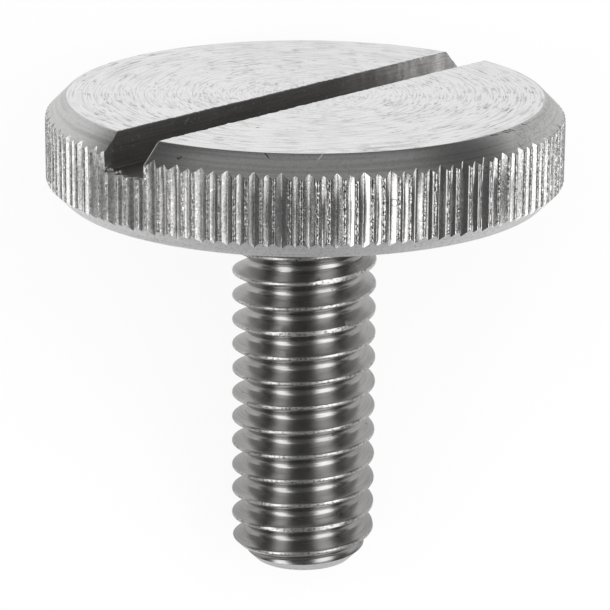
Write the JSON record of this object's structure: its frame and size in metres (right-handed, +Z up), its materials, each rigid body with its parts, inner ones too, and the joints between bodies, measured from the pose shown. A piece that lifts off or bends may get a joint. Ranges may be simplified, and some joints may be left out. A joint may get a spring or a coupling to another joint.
{
  "type": "thumb screw",
  "caption": "One-piece metal thumb screw with a low, wide, straight-knurled round head, a driver slot across its flat top and a short fully threaded shank.",
  "frame": {"origin": "on the surface that the screw lies on, under the middle of its bounding box", "axes": "+Z up; +Y from the screw's end towards its head, along the way it lies; +X across the head. The screw lies on the rim of its head and on its thread, and its axis rises by about 26 degrees towards +Y"},
  "size_m": [0.014, 0.0152, 0.0133],
  "materials": {
    "steel": "turned stainless steel: fine concentric tool marks on the head, rolled and bright on the thread"
  },
  "bodies": {
    "root": {"thumb_screw": "steel"}
  },
  "joints": []
}
